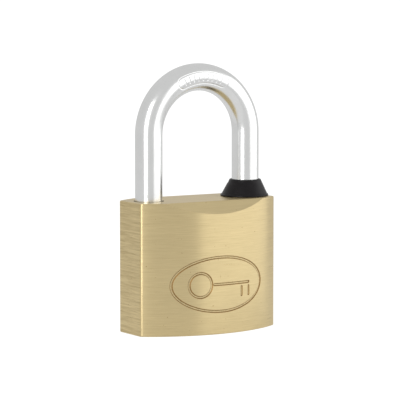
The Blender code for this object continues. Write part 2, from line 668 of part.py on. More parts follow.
def make_pin_stacks(pin_finish, driver_finish, spring_finish, filler_finish, plug_axis):
    for i in range(PIN_COUNT):
        z = pin_height(i)
        number = i + 1
        length = KEY_PIN_LENGTHS[i]
        profile = [
            (PIN_RADIUS - KEY_PIN_POINT, 0),
            (PIN_RADIUS, KEY_PIN_POINT),
            (PIN_RADIUS, length),
        ]
        shape = turned(profile, COARSE)
        shape.transform(Matrix.Rotation(-pi / 2, 4, "Y"))
        shape.transform(Matrix.Translation((length - KEY_PIN_FACE, 0, z)))
        add_object(f"key_pin_{number}", shape, pin_finish, parent=plug_axis)

        driver_end = DRIVER_FACE + DRIVER_LENGTH
        driver = rod(PIN_RADIUS, (-driver_end, 0, z), (-DRIVER_FACE, 0, z), COARSE, DRIVER_CHAMFER)
        add_object(f"driver_pin_{number}", driver, driver_finish)

        filler_face = HALF_WIDTH - FILLER_LENGTH
        start = (-filler_face + SEAT_GAP, 0, z)
        end = (-driver_end - SEAT_GAP, 0, z)
        spring = coil(PIN_RADIUS - PIN_CLEARANCE, PIN_SPRING_WIRE, start, end, PIN_SPRING_PITCH)
        add_object(f"pin_spring_{number}", spring, spring_finish)

        filler = rod(CHAMBER_RADIUS - PRESS_GAP, (-HALF_WIDTH, 0, z), (-filler_face, 0, z), COARSE)
        add_object(f"chamber_filler_{number}", filler, filler_finish)


def make_springs_and_filler(spring_finish, filler_finish):
    pocket_end = BOLT_INNER_END + SPRING_POCKET_DEPTH - SEAT_GAP
    outer = SPRING_POCKET_DIAMETER / 2 - SPRING_CLEARANCE
    start, end = (-pocket_end, 0, BOLT_Z), (pocket_end, 0, BOLT_Z)
    shape = coil(outer, BOLT_SPRING_WIRE, start, end, BOLT_SPRING_PITCH)
    add_object("bolt_spring", shape, spring_finish)

    outer = HEEL_POCKET_RADIUS - SPRING_CLEARANCE
    start, end = (LEG_X, 0, HEEL_FLOOR + SEAT_GAP), (LEG_X, 0, HEEL_POCKET_TOP - SEAT_GAP)
    shape = coil(outer, HEEL_SPRING_WIRE, start, end, HEEL_SPRING_PITCH)
    add_object("heel_spring", shape, spring_finish)

    start = (LEG_X + LEG_HOLE_RADIUS + SEAT_GAP, 0, BOLT_Z)
    end = (HALF_WIDTH, 0, BOLT_Z)
    add_object("bolt_bore_filler", rod(BOLT_BORE_RADIUS - PRESS_GAP, start, end, MEDIUM), filler_finish)


def build():
    clear_scene()
    brass = material("satin_brass", (0.72, 0.60, 0.36), 0.34, 1.0)
    plug_brass = material("turned_brass", (0.68, 0.55, 0.30), 0.28, 1.0)
    pin_brass = material("pin_brass", (0.74, 0.60, 0.32), 0.25, 1.0)
    chrome = material("chrome_plate", (0.86, 0.87, 0.88), 0.08, 1.0)
    rubber = material("black_rubber", (0.022, 0.020, 0.022), 0.55, 0.0)
    steel = material("hardened_steel", (0.55, 0.56, 0.58), 0.30, 1.0)
    wire = material("spring_wire", (0.62, 0.63, 0.65), 0.25, 1.0)

    shackle_axis = add_axis("shackle_axis", (LEG_X, 0, BODY_HEIGHT))
    plug_axis = add_axis("plug_axis", (0, 0, 0), PLUG_TURN)
    make_body(brass)
    make_cross_pins(steel)
    make_shackle(chrome, shackle_axis)
    make_boot(rubber)
    make_plug(plug_brass, plug_axis)
    make_cam(steel, plug_axis)
    make_bolt("toe_bolt", -1, steel)
    make_bolt("heel_bolt", 1, steel)
    make_pin_stacks(pin_brass, steel, wire, brass, plug_axis)
    make_springs_and_filler(wire, brass)


build()
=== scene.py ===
"""Finishes a solid brass padlock round its CAD frame: body, shackle, boot, plug, pins, springs and studio."""

from math import asin, cos, pi, radians, sin, sqrt

import bmesh
import bpy
from bpy.props import FloatProperty, FloatVectorProperty, PointerProperty
from bpy.types import Operator, Panel, PropertyGroup
from mathutils import Matrix, Vector


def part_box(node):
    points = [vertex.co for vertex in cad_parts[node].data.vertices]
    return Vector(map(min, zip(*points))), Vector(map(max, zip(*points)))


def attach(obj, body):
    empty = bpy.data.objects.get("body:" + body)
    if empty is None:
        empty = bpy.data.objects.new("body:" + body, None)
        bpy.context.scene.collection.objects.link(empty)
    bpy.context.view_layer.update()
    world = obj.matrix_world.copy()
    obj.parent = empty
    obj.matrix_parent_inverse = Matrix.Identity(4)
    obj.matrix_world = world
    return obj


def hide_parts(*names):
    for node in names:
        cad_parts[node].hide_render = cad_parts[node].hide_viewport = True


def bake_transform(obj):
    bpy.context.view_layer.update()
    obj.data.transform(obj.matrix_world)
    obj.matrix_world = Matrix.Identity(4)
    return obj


bl_info = {
    "name": "Brass Padlock",
    "version": (1, 0, 0),
    "blender": (4, 5, 0),
    "location": "View3D > Sidebar > Padlock",
    "description": "Builds the finished pieces of a brass padlock round its CAD frame, and a studio for it",
    "category": "Object",
}

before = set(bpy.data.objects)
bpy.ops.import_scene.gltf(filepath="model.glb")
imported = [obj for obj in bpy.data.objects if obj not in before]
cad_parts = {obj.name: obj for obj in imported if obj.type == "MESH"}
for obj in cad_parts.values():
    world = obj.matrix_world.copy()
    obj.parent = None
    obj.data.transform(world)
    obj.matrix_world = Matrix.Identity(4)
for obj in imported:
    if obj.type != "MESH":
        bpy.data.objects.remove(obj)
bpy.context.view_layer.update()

MM = 0.001

# Sizes read from the CAD frame.
BODY_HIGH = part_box("lock_body")[1]
BAR_LOW, BAR_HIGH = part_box("shackle")
BOOT_LOW, BOOT_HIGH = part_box("heel_boot")
PLUG_LOW, PLUG_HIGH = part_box("plug")
BOLT_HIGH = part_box("heel_bolt")[1]
STOP_LOW, STOP_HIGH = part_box("heel_stop_pin")
KEEPER_LOW, KEEPER_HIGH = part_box("plug_retaining_pin")
HEEL_COIL_LOW, HEEL_COIL_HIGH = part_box("heel_spring")
BOLT_COIL_LOW, BOLT_COIL_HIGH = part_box("bolt_spring")
BODY_HEIGHT = BODY_HIGH.z
HALF_WIDTH = BODY_HIGH.x
HALF_DEPTH = BODY_HIGH.y
BAR_RADIUS = BAR_HIGH.y
LEG_X = BAR_HIGH.x - BAR_RADIUS
ARCH_CENTRE = BAR_HIGH.z - BAR_RADIUS - LEG_X
TOE_TIP = 29.0 * MM
HEEL_TIP = BAR_LOW.z
PLUG_RADIUS = PLUG_HIGH.x
BOLT_RADIUS = BOLT_HIGH.y
BOLT_Z = BOLT_HIGH.z - BOLT_RADIUS
PIN_COUNT = 5
PIN_NUMBERS = range(1, PIN_COUNT + 1)
FILLER_BOXES = [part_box(f"chamber_filler_{i}") for i in PIN_NUMBERS]
PIN_HEIGHTS = [(low.z + high.z) / 2 for low, high in FILLER_BOXES]

# Sizes of the body that its box doesn't give.
EDGE_THICKNESS = 13 * MM
FACE_BULGE = HALF_DEPTH - EDGE_THICKNESS / 2
FACE_RADIUS = (FACE_BULGE**2 + HALF_WIDTH**2) / (2 * FACE_BULGE)
FACE_CENTRE = FACE_RADIUS - HALF_DEPTH
CORNER_ROUND = 0.6 * MM
EDGE_BREAK = 0.3 * MM
TOP_FLAT_DEPTH = 21 * MM
CRESCENT_DROP = 3.8 * MM
LEG_HOLE_RADIUS = BAR_RADIUS + 0.35 * MM
HOLE_CHAMFER = 0.15 * MM
TOE_FLOOR = 28.5 * MM
HEEL_FLOOR = 3 * MM
SEAT_RADIUS = LEG_HOLE_RADIUS + 1.0 * MM
SEAT_DEPTH = 2.2 * MM
RUNNING_FIT = 0.07 * MM
PRESS_GAP = 0.02 * MM
SEAT_GAP = 0.05 * MM
PLUG_BORE_TOP = BOLT_Z - BOLT_RADIUS + 0.2 * MM
CHAMBER_RADIUS = 1.3 * MM
CUT_MARGIN = 1.0 * MM

# The engraved oval and the key sign in it.
OVAL_WIDTH = 33 * MM
OVAL_HEIGHT = 17.2 * MM
SIGN_HEIGHT = 15.9 * MM
GROOVE_HALF_TOP = 0.46 * MM
GROOVE_HALF_FLOOR = 0.20 * MM
GROOVE_DEPTH = 0.27 * MM
KEY_BOW = 7.6 * MM
KEY_LENGTH = 22 * MM
KEY_TOOTH = 2.6 * MM
KEY_TOOTH_GAP = 1.35 * MM
KEY_TOOTH_SPACING = 3.0 * MM

# The plug: its keyway, the groove for the pin that keeps it in, and the slot for the cam's tang.
KEYWAY_HALF_WIDTH = 0.85 * MM
KEYWAY_WARD = 0.6 * MM
KEYWAY_REACH = 4.5 * MM
KEYWAY_OVERRUN = 3.25 * MM
KEEPER_GROOVE_LOW = 25.85 * MM
KEEPER_GROOVE_HIGH = 27.85 * MM
KEEPER_GROOVE_DEPTH = 1.2 * MM
TANG_REACH = 4.08 * MM
TANG_HALF_WIDTH = 0.98 * MM
TANG_DEPTH = 1.48 * MM

# Springs.
HEEL_SPRING_WIRE = 0.45 * MM
HEEL_SPRING_PITCH = 1.35 * MM
BOLT_SPRING_WIRE = 0.4 * MM
BOLT_SPRING_PITCH = 1.3 * MM
PIN_SPRING_WIRE = 0.35 * MM
PIN_SPRING_PITCH = 1.3 * MM

# Shackle details.
TIP_CHAMFER = 0.8 * MM
NOTCH_DEPTH = 2.05 * MM
NOTCH_HALF_HEIGHT = BOLT_RADIUS + 0.3 * MM
WAIST_RADIUS = BAR_RADIUS - NOTCH_DEPTH
WAIST_TOP = 29.8 * MM
WAIST_BOTTOM = HEEL_TIP + 2.2 * MM
WAIST_SHOULDER = 0.5 * MM
HEEL_POCKET_RADIUS = WAIST_RADIUS - 0.8 * MM
HEEL_POCKET_TOP = HEEL_TIP + 6 * MM
BOOT_LEAN = 0.27 * MM
STAMP_MIDDLE = radians(91)
STAMP_REACH = radians(24.5)
STAMP_HALF_BAND = 1.85 * MM
STAMP_TUBE = 0.42 * MM
STAMP_DEPTH = 0.11 * MM
STAMP_BARS = 9

FLOOR_RADIUS = 160 * MM
FLOOR_GAP = 0.02 * MM

# Soft boxes: azimuth to the right of the front and elevation in degrees, width and height in metres.
BOX_DISTANCE = 1.1
KEY_PLACE = (50, 15)
KEY_SIZE = (1.8, 0.9)
STRIP_PLACE = (-55, 15)
STRIP_SIZE = (0.4, 0.9)

# Mesh fineness.
WELD = 0.002 * MM
FACE_STEPS = 200
ROUND_STEPS = 6
BAR_SIDES = 160
ARCH_STEPS = 150
HOLE_SIDES = 96
PIN_SIDES = 48


# ---------------------------------------------------------------- meshes


def add_piece(name, shape, finishes):
    """A named object from a bmesh, with outward normals and its finishes in its material slots."""
    bmesh.ops.recalc_face_normals(shape, faces=shape.faces)
    mesh = bpy.data.meshes.new(name)
    shape.to_mesh(mesh)
    shape.free()
    mesh.shade_smooth()
    for finish in finishes:
        mesh.materials.append(finish)
    piece = bpy.data.objects.new(name, mesh)
    bpy.context.scene.collection.objects.link(piece)
    return piece


def cut(piece, shape, finish, name="cutter", walls=None):
    """Adds a Boolean that cuts the shape away and leaves its finish on the cut, and another on its walls."""
    cutter = add_piece(f"{piece.name}_{name}", shape, [finish, walls] if walls else [finish])
    cutter.hide_render = True
    modifier = piece.modifiers.new(name, "BOOLEAN")
    modifier.solver = "EXACT"
    modifier.material_mode = "TRANSFER"
    modifier.object = cutter
    return cutter


def weld(mesh):
    """Joins points that a cut left closer than the finest feature, and drops the slivers between them."""
    shape = bmesh.new()
    shape.from_mesh(mesh)
    bmesh.ops.remove_doubles(shape, verts=shape.verts, dist=WELD)
    bmesh.ops.dissolve_degenerate(shape, edges=shape.edges, dist=WELD)
    shape.to_mesh(mesh)
    shape.free()


def settle(piece, cutters=(), sharp=30):
    """Applies the modifiers, removes the cutters, and shades flat faces flat and bowed faces smooth."""
    graph = bpy.context.evaluated_depsgraph_get()
    made = bpy.data.meshes.new_from_object(piece.evaluated_get(graph))
    piece.modifiers.clear()
    piece.data = made
    for cutter in cutters:
        bpy.data.objects.remove(cutter)
    weld(made)
    made.shade_smooth()
    made.set_sharp_from_angle(angle=radians(sharp))
    weighted = piece.modifiers.new("weighted", "WEIGHTED_NORMAL")
    weighted.keep_sharp = True
    weighted.weight = 80
    graph = bpy.context.evaluated_depsgraph_get()
    shaded = bpy.data.meshes.new_from_object(piece.evaluated_get(graph))
    piece.modifiers.clear()
    piece.data = shaded
    shaded.name = piece.name
    return piece


def joined_rings(rings, closed_loop=False, slot=0):
    """A solid skinned over rings of equally many points, capped at both ends or closed on itself."""
    shape = bmesh.new()
    loops = [[shape.verts.new(point) for point in ring] for ring in rings]
    pairs = list(zip(loops, loops[1:]))
    if closed_loop:
        pairs.append((loops[-1], loops[0]))
    else:
        shape.faces.new(loops[0])
        shape.faces.new(loops[-1])
    for low, high in pairs:
        for i in range(len(low)):
            j = (i + 1) % len(low)
            shape.faces.new((low[i], low[j], high[j], high[i]))
    for face in shape.faces:
        face.material_index = slot
    return shape


def merged(shapes):
    """One bmesh that holds all the shapes."""
    whole = bmesh.new()
    for shape in shapes:
        part = bpy.data.meshes.new("part")
        shape.to_mesh(part)
        shape.free()
        whole.from_mesh(part)
        bpy.data.meshes.remove(part)
    return whole


def circle(radius, z, sides, centre=(0, 0)):
    return [
        (centre[0] + radius * cos(2 * pi * i / sides), centre[1] + radius * sin(2 * pi * i / sides), z)
        for i in range(sides)
    ]


def turned(profile, sides, centre=(0, 0)):
    """A solid turned about a line along Z from (radius, height) points."""
    return joined_rings([circle(radius, z, sides, centre) for radius, z in profile])


def rod(radius, start, end, sides):
    start = Vector(start)
    end = Vector(end)
    shape = turned([(radius, 0), (radius, (end - start).length)], sides)
    turn = Vector((0, 0, 1)).rotation_difference(end - start).to_matrix().to_4x4()
    shape.transform(Matrix.Translation(start) @ turn)
    return shape


def prism(outline, low, high):
    return joined_rings([[(x, y, z) for x, y in outline] for z in (low, high)])


def tube_along(points, outward, radius, sides=10, closed_loop=False):
    """A round tube along points, with rounded ends. outward is each point's way off the surface."""
    count = len(points)
    rings = []
    for i, point in enumerate(points):
        before = points[i - 1] if i or closed_loop else points[0]
        after = points[(i + 1) % count] if i < count - 1 or closed_loop else points[-1]
        ahead = (after - before).normalized()
        up = outward[i]
        side = ahead.cross(up).normalized()
        up = side.cross(ahead)
        rings.append((point, ahead, side, up, radius))
    if not closed_loop:
        point, ahead, side, up, _ = rings[0]
        heads = []
        for a in (75, 50, 25):
            back = ahead * radius * sin(radians(a))
            heads.append((point - back, ahead, side, up, radius * cos(radians(a))))
        point, ahead, side, up, _ = rings[-1]
        tails = []
        for a in (25, 50, 75):
            on = ahead * radius * sin(radians(a))
            tails.append((point + on, ahead, side, up, radius * cos(radians(a))))
        rings = heads + rings + tails
    turns = [2 * pi * k / sides for k in range(sides)]
    loops = []
    for point, _, side, up, reach in rings:
        loops.append([point + (side * cos(a) + up * sin(a)) * reach for a in turns])
    return joined_rings(loops, closed_loop)


def coil(outer_radius, wire, start, end, pitch, steps=36, sides=12):
    """A round coil spring from start to end, wound at one even pitch."""
    start = Vector(start)
    end = Vector(end)
    room = (end - start).length - wire
    turns = max(3, round(room / pitch))
    radius = outer_radius - wire / 2
    count = turns * steps
    points = []
    outward = []
    for i in range(count + 1):
        t = i / count
        angle = 2 * pi * turns * t
        out = Vector((cos(angle), sin(angle), 0))
        points.append(out * radius + Vector((0, 0, wire / 2 + room * t)))
        outward.append(out)
    shape = tube_along(points, outward, wire / 2, sides)
    turn = Vector((0, 0, 1)).rotation_difference(end - start).to_matrix().to_4x4()
    shape.transform(Matrix.Translation(start) @ turn)
    return shape


# ---------------------------------------------------------------- finishes


class Finish:
    """A material's node tree, with short ways to add the nodes that the finishes share."""

    def __init__(self, name):
        self.material = bpy.data.materials.new(name)
        self.material.use_nodes = True
        self.tree = self.material.node_tree
        self.shader = self.tree.nodes["Principled BSDF"]
        self.place = self.node("ShaderNodeTexCoord").outputs["Object"]

    def node(self, kind, **settings):
        made = self.tree.nodes.new(kind)
        for key, value in settings.items():
            setattr(made, key, value)
        return made

    def link(self, source, target):
        self.tree.links.new(source, target)

    def stretched(self, scale, place=None):
        """The coordinates scaled apart along each axis, so that a texture on them turns into streaks."""
        mapping = self.node("ShaderNodeMapping")
        mapping.inputs["Scale"].default_value = scale
        self.link(place or self.place, mapping.inputs["Vector"])
        return mapping.outputs["Vector"]

    def noise(self, scale, detail=3.0, rough=0.6, place=None, warp=0.0):
        """Noise in features per metre. scale is one number, or one for each axis."""
        if not isinstance(scale, (int, float)):
            place = self.stretched(scale, place)
            scale = 1.0
        made = self.node("ShaderNodeTexNoise")
        made.inputs["Scale"].default_value = scale
        made.inputs["Detail"].default_value = detail
        made.inputs["Roughness"].default_value = rough
        made.inputs["Distortion"].default_value = warp
        self.link(place or self.place, made.inputs["Vector"])
        return made.outputs["Fac"]

    def spread(self, value, low, high, out_low=0.0, out_high=1.0):
        """Maps low..high to out_low..out_high, held at the ends."""
        made = self.node("ShaderNodeMapRange")
        made.inputs["From Min"].default_value = low
        made.inputs["From Max"].default_value = high
        made.inputs["To Min"].default_value = out_low
        made.inputs["To Max"].default_value = out_high
        self.link(value, made.inputs["Value"])
        return made.outputs["Result"]

    def maths(self, operation, first, second):
        made = self.node("ShaderNodeMath", operation=operation)
        for socket, value in zip(made.inputs, (first, second)):
            if isinstance(value, (int, float)):
                socket.default_value = value
            else:
                self.link(value, socket)
        return made.outputs["Value"]

    def mixed(self, factor, first, second):
        """A colour between two colours, or between a colour socket and a colour."""
        made = self.node("ShaderNodeMix", data_type="RGBA")
        self.link(factor, made.inputs["Factor"])
        for name, value in (("A", first), ("B", second)):
            socket = [s for s in made.inputs if s.name == name and s.type == "RGBA"][0]
            if hasattr(value, "is_linked"):
                self.link(value, socket)
            else:
                socket.default_value = (*value[:3], 1)
        return [s for s in made.outputs if s.type == "RGBA"][0]

    def bumps(self, *heights):
        """One bump after another. Each is (height, strength, distance)."""
        normal = None
        for height, strength, distance in heights:
            made = self.node("ShaderNodeBump")
            made.inputs["Strength"].default_value = strength
            made.inputs["Distance"].default_value = distance
            self.link(height, made.inputs["Height"])
            if normal:
                self.link(normal, made.inputs["Normal"])
            normal = made.outputs["Normal"]
        self.link(normal, self.shader.inputs["Normal"])

    def set(self, **values):
        for name, value in values.items():
            socket = self.shader.inputs[name.replace("_", " ")]
            if hasattr(value, "is_linked"):
                self.link(value, socket)
            else:
                socket.default_value = value

    def radius_from_axis(self, centre=(0, 0)):
        """Distance from a line along Z, for marks that a lathe leaves."""
        apart = self.node("ShaderNodeSeparateXYZ")
        self.link(self.place, apart.inputs["Vector"])
        x = self.maths("SUBTRACT", apart.outputs["X"], centre[0])
        y = self.maths("SUBTRACT", apart.outputs["Y"], centre[1])
        squares = self.maths("ADD", self.maths("MULTIPLY", x, x), self.maths("MULTIPLY", y, y))
        return self.maths("SQRT", squares, 0.0)


def tone(colour, factor):
    return tuple(min(1.0, c * factor) for c in colour[:3])


def brushed_brass(name, look, grain, tangent_axis, contrast, waves=0.0):
    """Satin brass drawn over an abrasive belt. grain is the features per metre along X, Y and Z."""
    f = Finish(name)
    fine = f.noise(grain, 2.0, 0.7, warp=waves)
    coarse = f.noise(tuple(g * 0.42 for g in grain), 2.0, 0.6, warp=waves)
    cloud = f.noise(90.0, 2.0, 0.5)
    streak = f.maths("ADD", f.maths("MULTIPLY", fine, 0.6), f.maths("MULTIPLY", coarse, 0.4))
    tones = f.spread(streak, 0.36, 0.64)
    tarnish = tuple(c * (1.0 - contrast * share) for c, share in zip(look.brass, (1.0, 1.15, 1.5)))
    base = f.mixed(tones, tarnish, tone(look.brass, 1.0 + 0.5 * contrast))
    stain = f.spread(cloud, 0.52, 0.78, 0.0, 0.30)
    base = f.mixed(stain, base, tone(look.brass, 0.86))
    pits = f.spread(f.noise(1500.0, 1.0, 0.5), 0.755, 0.82)
    base = f.mixed(pits, base, look.engraving)
    f.set(Base_Color=base, Metallic=1.0, Anisotropic=look.brushing, Anisotropic_Rotation=0.25)
    f.set(Roughness=f.spread(streak, 0.3, 0.7, look.brass_roughness - 0.03, look.brass_roughness + 0.04))
    f.set(Coat_Weight=look.lacquer, Coat_Roughness=0.28)
    tangent = f.node("ShaderNodeTangent", direction_type="RADIAL", axis=tangent_axis)
    f.link(tangent.outputs["Tangent"], f.shader.inputs["Tangent"])
    f.bumps((fine, 0.10, 0.02 * MM), (coarse, 0.10, 0.05 * MM), (pits, -0.3, 0.05 * MM))
    return f.material


def cut_brass(name, look, colour, roughness, centre=None):
    """Brass as a drill or an engraving cutter leaves it, with fine rings if it was turned."""
    f = Finish(name)
    if centre is None:
        marks = f.noise((2600.0, 2600.0, 2600.0), 3.0, 0.6)
    else:
        rings = f.node("ShaderNodeCombineXYZ")
        f.link(f.radius_from_axis(centre), rings.inputs["X"])
        marks = f.noise((9000.0, 1.0, 1.0), 3.0, 0.6, place=rings.outputs["Vector"])
    base = f.mixed(f.spread(marks, 0.35, 0.65), tone(colour, 0.82), tone(colour, 1.1))
    f.set(Base_Color=base, Metallic=1.0)
    f.set(Roughness=f.spread(marks, 0.3, 0.7, roughness - 0.06, roughness + 0.08))
    f.bumps((marks, 0.25, 0.03 * MM))
    return f.material


def chrome_plate(look):
    """Bright plate over a drawn steel bar, with the slight waviness that plating leaves."""
    f = Finish("chrome plate")
    wave = f.noise(210.0, 2.0, 0.5)
    orange_peel = f.noise(1400.0, 2.0, 0.5)
    haze = f.noise(120.0, 3.0, 0.6)
    base = f.mixed(f.spread(haze, 0.35, 0.75), look.chrome[:], tone(look.chrome, 0.94))
    f.set(Base_Color=base, Metallic=1.0)
    f.set(Roughness=f.spread(haze, 0.3, 0.75, look.chrome_roughness, look.chrome_roughness + 0.05))
    f.bumps((wave, 0.10, 0.25 * MM), (orange_peel, 0.03, 0.05 * MM))
    return f.material


def drawn_metal(name, colour, roughness, grain, contrast=0.1):
    """Steel or brass pins, bolts and wire, with the marks of grinding or drawing."""
    f = Finish(name)
    marks = f.noise(grain, 3.0, 0.65)
    spots = f.noise(700.0, 2.0, 0.5)
    base = f.mixed(f.spread(marks, 0.35, 0.65), tone(colour, 1.0 - contrast), tone(colour, 1.0 + contrast))
    base = f.mixed(f.spread(spots, 0.6, 0.8, 0.0, 0.4), base, tone(colour, 0.7))
    f.set(Base_Color=base, Metallic=1.0)
    f.set(Roughness=f.spread(marks, 0.3, 0.7, roughness - 0.05, roughness + 0.07))
    f.bumps((marks, 0.15, 0.02 * MM))
    return f.material


def moulded_rubber(look):
    """Black rubber from a mould: satin, a little dusty, with the fine grain of the mould's wall."""
    f = Finish("moulded rubber")
    grain = f.noise(6000.0, 2.0, 0.6)
    dust = f.noise(380.0, 4.0, 0.65)
    base = f.mixed(f.spread(dust, 0.5, 0.8), look.rubber[:], tone(look.rubber, 2.0))
    f.set(Base_Color=base, Metallic=0.0, Specular_IOR_Level=0.22)
    f.set(Roughness=f.spread(dust, 0.3, 0.7, look.rubber_roughness - 0.05, look.rubber_roughness + 0.08))
    f.bumps((grain, 0.12, 0.03 * MM))
    return f.material


def studio_paper(colour, glow):
    """White paper that glows, so that it stays white round the lock, and is clear from underneath."""
    f = Finish("studio paper")
    fibres = f.noise(900.0, 3.0, 0.6)
    fibre_colour = f.mixed(fibres, tone(colour, 0.30), tone(colour, 0.32))
    f.set(Base_Color=fibre_colour, Roughness=0.9, Specular_IOR_Level=0.0)
    seen = f.node("ShaderNodeLightPath").outputs["Is Camera Ray"]
    f.set(Emission_Color=(1, 1, 1, 1), Emission_Strength=f.spread(seen, 0.0, 1.0, 0.5, glow))
    f.bumps((fibres, 0.05, 0.02 * MM))
    clear = f.node("ShaderNodeBsdfTransparent")
    sides = f.node("ShaderNodeMixShader")
    f.link(f.node("ShaderNodeNewGeometry").outputs["Backfacing"], sides.inputs["Fac"])
    f.link(f.shader.outputs["BSDF"], sides.inputs[1])
    f.link(clear.outputs["BSDF"], sides.inputs[2])
    f.link(sides.outputs["Shader"], f.tree.nodes["Material Output"].inputs["Surface"])
    return f.material


# ---------------------------------------------------------------- settings


def colour(name, description, default):
    return FloatVectorProperty(
        name=name, description=description, default=default, subtype="COLOR", min=0, max=1
    )


def share(name, description, default, low, high):
    return FloatProperty(
        name=name, description=description, default=default, min=low, max=high, subtype="FACTOR"
    )


def length(name, description, default, low, high):
    return FloatProperty(
        name=name, description=description, default=default, min=low, max=high, unit="LENGTH"
    )


class FinishSettings(PropertyGroup):
    brass: colour("Brass", "Colour of the satin brass", (0.755, 0.612, 0.335))
    brass_roughness: share("Brass roughness", "How matt the brushed brass is", 0.30, 0.1, 0.9)
    brushing: share("Brushing", "How much the brushing spreads light across its lines", 0.75, 0, 1)
    lacquer: share("Lacquer", "Weight of the clear lacquer on the brass", 0.12, 0, 1)
    # Dark brown painted on the walls of the engraved grooves, as painted shade in the lines; the fine pits in
    # the brushed brass take it too.
    engraving: colour("Engraving", "Colour in the engraved lines", (0.40, 0.24, 0.09))
    chrome: colour("Chrome", "Colour of the chrome plate", (0.90, 0.905, 0.90))
    chrome_roughness: share("Chrome roughness", "How hazy the plate is", 0.2, 0, 0.5)
    rubber: colour("Rubber", "Colour of the rubber boot", (0.0070, 0.0055, 0.0065))
    rubber_roughness: share("Rubber roughness", "How matt the rubber is", 0.31, 0.1, 1)
    steel: colour("Steel", "Colour of the hardened steel", (0.56, 0.56, 0.555))
    wire: colour("Wire", "Colour of the spring wire", (0.62, 0.63, 0.65))
    pin: colour("Pin brass", "Colour of the key pins", (0.74, 0.60, 0.32))


class EngravingSettings(PropertyGroup):
    oval_width: length("Oval width", "Width of the engraved oval", OVAL_WIDTH, 0.01, 0.04)
    oval_height: length("Oval height", "Height of the engraved oval", OVAL_HEIGHT, 0.005, 0.03)
    groove_depth: length("Groove depth", "Depth of the engraved lines", GROOVE_DEPTH, 0.0001, 0.001)
    stamp_depth: length("Stamp depth", "Depth of the marks on the arch", STAMP_DEPTH, 0.00005, 0.0004)


class StudioSettings(PropertyGroup):
    azimuth: FloatProperty(
        name="Camera azimuth", description="Camera's angle to the left of the front", default=radians(31.45),
        subtype="ANGLE",
    )
    elevation: FloatProperty(
        name="Camera elevation", description="Camera's angle above the horizon",
        default=radians(5.57), subtype="ANGLE",
    )
    distance: length("Camera distance", "From the lock's middle to the camera", 0.792, 0.2, 3)
    lens: FloatProperty(
        name="Focal length", description="In millimetres on a 36 mm sensor", default=223.06,
        min=20, max=500,
    )
    key: FloatProperty(name="Key light", description="Power of the soft box on the right", default=4.0, min=0)
    strip: FloatProperty(
        name="Strip light", description="Power of the narrow box on the left", default=3.0,
        min=0,
    )
    tent: FloatProperty(
        name="Light tent", description="Brightness of the tent round the table",
        default=0.65, min=0,
    )
    glow: FloatProperty(
        name="Paper glow", description="Light that comes through the paper", default=0.9,
        min=0,
    )
    paper: colour("Paper", "Colour of the paper the lock stands on", (0.93, 0.93, 0.93))


class PadlockSettings(PropertyGroup):
    finish: PointerProperty(type=FinishSettings)
    engraving: PointerProperty(type=EngravingSettings)
    studio: PointerProperty(type=StudioSettings)


# ---------------------------------------------------------------- body


def face_depth(x):
    """How far the bowed front face lies from the middle plane at x."""
    return sqrt(FACE_RADIUS**2 - x**2) - FACE_CENTRE


def quarter_outline(inset):
    """Outline points from the middle of the front face to the middle of the +X side."""
    width = HALF_WIDTH - inset
    radius = FACE_RADIUS - inset
    last = asin((width - CORNER_ROUND) / radius)
    points = []
    for i in range(FACE_STEPS // 2 + 1):
        angle = last * i / (FACE_STEPS // 2)
        points.append((radius * sin(angle), FACE_CENTRE - radius * cos(angle)))
    start = Vector(points[-1])
    corner = Vector((width, FACE_CENTRE - sqrt(radius**2 - width**2)))
    end = corner + Vector((0, CORNER_ROUND))
    for i in range(1, ROUND_STEPS + 1):
        t = i / ROUND_STEPS
        points.append(tuple(start * (1 - t) ** 2 + corner * 2 * t * (1 - t) + end * t**2))
    return points


def body_outline(inset):
    right_front = quarter_outline(inset)
    right_back = [(x, -y) for x, y in reversed(right_front)]
    left_back = [(-x, y) for x, y in reversed(right_back[:-1])]
    left_front = [(-x, y) for x, y in reversed(right_front[1:])]
    return right_front + right_back + left_back + left_front


def body_blank():
    """The extruded bar with rounded edges. Slot 0 is the front and back, 1 the sides, 2 the top, 3 below."""
    levels = []
    for a in (0, 30, 60, 90):
        levels.append((EDGE_BREAK * (1 - sin(radians(a))), EDGE_BREAK * (1 - cos(radians(a)))))
    levels += [(inset, BODY_HEIGHT - z) for inset, z in reversed(levels)]
    shape = joined_rings([[(x, y, z) for x, y in body_outline(inset)] for inset, z in levels])
    bmesh.ops.recalc_face_normals(shape, faces=shape.faces)
    for face in shape.faces:
        normal = face.normal
        if normal.z > 0.8:
            face.material_index = 2
        elif normal.z < -0.8:
            face.material_index = 3
        elif abs(normal.x) > 0.9:
            face.material_index = 1
    return shape


def crescent(side):
    """A wedge that bevels the top of the front face (side -1) or the back face (side 1)."""
    slope = CRESCENT_DROP / (HALF_DEPTH - TOP_FLAT_DEPTH / 2)
    inner = TOP_FLAT_DEPTH / 2 - CUT_MARGIN
    outer = HALF_DEPTH + CUT_MARGIN
    high = BODY_HEIGHT + slope * CUT_MARGIN
    low = BODY_HEIGHT - slope * (outer - TOP_FLAT_DEPTH / 2)
    section = [(side * inner, high), (side * outer, high), (side * outer, low)]
    reach = HALF_WIDTH + CUT_MARGIN
    return joined_rings([[(x, y, z) for y, z in section] for x in (-reach, reach)])


